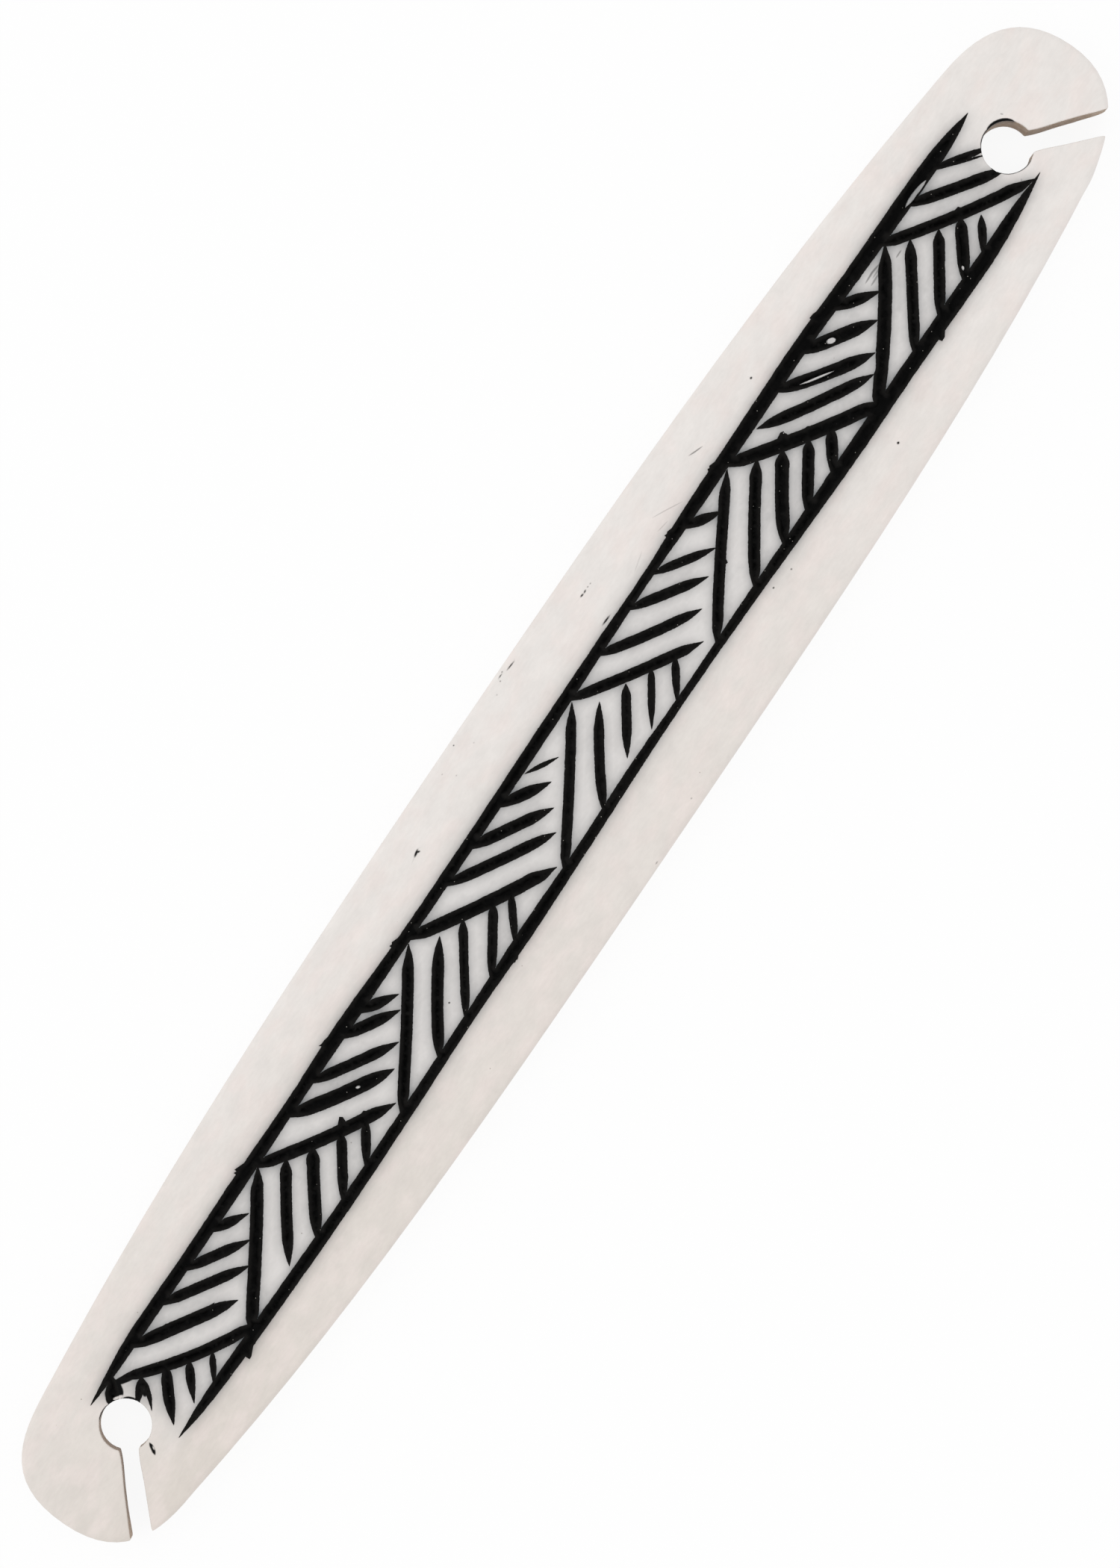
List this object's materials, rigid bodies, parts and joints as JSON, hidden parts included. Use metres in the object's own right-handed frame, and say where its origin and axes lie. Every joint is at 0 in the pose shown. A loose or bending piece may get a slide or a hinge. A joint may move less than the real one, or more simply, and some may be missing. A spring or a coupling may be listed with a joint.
{
  "type": "weaving shuttle",
  "caption": "Flat bone weaving shuttle with rounded ends, a round eye with an open slot at each end, and a black-filled band of zigzag and hatching cut into one face.",
  "frame": {"origin": "centre of the plain back face, midway between the two tips, on the surface that the shuttle lies on", "axes": "+X along the blade towards end A, the end with the slightly wider slot; +Y across the blade, away from the side where both slots open; +Z out of the engraved face"},
  "size_m": [0.1476, 0.02, 0.003],
  "materials": {
    "bone": "satin, hand-polished bone with fine grain",
    "black_filling": "satin black pigment rubbed into the cuts"
  },
  "bodies": {
    "root": {"blade": "bone", "border_lower_fill": "black_filling", "border_upper_fill": "black_filling", "crossbar_1_fill": "black_filling", "crossbar_2_fill": "black_filling", "crossbar_3_fill": "black_filling", "crossbar_4_fill": "black_filling", "crossbar_5_fill": "black_filling", "crossbar_6_fill": "black_filling", "lower_hatch_1_1_fill": "black_filling", "lower_hatch_1_2_fill": "black_filling", "lower_hatch_1_3_fill": "black_filling", "lower_hatch_1_4_fill": "black_filling", "lower_hatch_2_1_fill": "black_filling", "lower_hatch_2_2_fill": "black_filling", "lower_hatch_2_3_fill": "black_filling", "lower_hatch_2_4_fill": "black_filling", "lower_hatch_3_1_fill": "black_filling", "lower_hatch_3_2_fill": "black_filling", "lower_hatch_3_3_fill": "black_filling", "lower_hatch_3_4_fill": "black_filling", "lower_hatch_4_1_fill": "black_filling", "lower_hatch_4_2_fill": "black_filling", "lower_hatch_4_3_fill": "black_filling", "lower_hatch_4_4_fill": "black_filling", "lower_hatch_5_1_fill": "black_filling", "lower_hatch_5_2_fill": "black_filling", "lower_hatch_5_3_fill": "black_filling", "lower_hatch_5_4_fill": "black_filling", "lower_hatch_6_1_fill": "black_filling", "lower_hatch_6_2_fill": "black_filling", "lower_hatch_6_3_fill": "black_filling", "lower_hatch_6_4_fill": "black_filling", "riser_1_fill": "black_filling", "riser_2_fill": "black_filling", "riser_3_fill": "black_filling", "riser_4_fill": "black_filling", "riser_5_fill": "black_filling", "upper_hatch_1_1_fill": "black_filling", "upper_hatch_1_2_fill": "black_filling", "upper_hatch_1_3_fill": "black_filling", "upper_hatch_1_4_fill": "black_filling", "upper_hatch_2_1_fill": "black_filling", "upper_hatch_2_2_fill": "black_filling", "upper_hatch_2_3_fill": "black_filling", "upper_hatch_2_4_fill": "black_filling", "upper_hatch_3_1_fill": "black_filling", "upper_hatch_3_2_fill": "black_filling", "upper_hatch_3_3_fill": "black_filling", "upper_hatch_3_4_fill": "black_filling", "upper_hatch_4_1_fill": "black_filling", "upper_hatch_4_2_fill": "black_filling", "upper_hatch_4_3_fill": "black_filling", "upper_hatch_4_4_fill": "black_filling", "upper_hatch_5_1_fill": "black_filling", "upper_hatch_5_2_fill": "black_filling", "upper_hatch_5_3_fill": "black_filling", "upper_hatch_5_4_fill": "black_filling", "upper_hatch_6_1_fill": "black_filling", "upper_hatch_6_2_fill": "black_filling"}
  },
  "joints": []
}
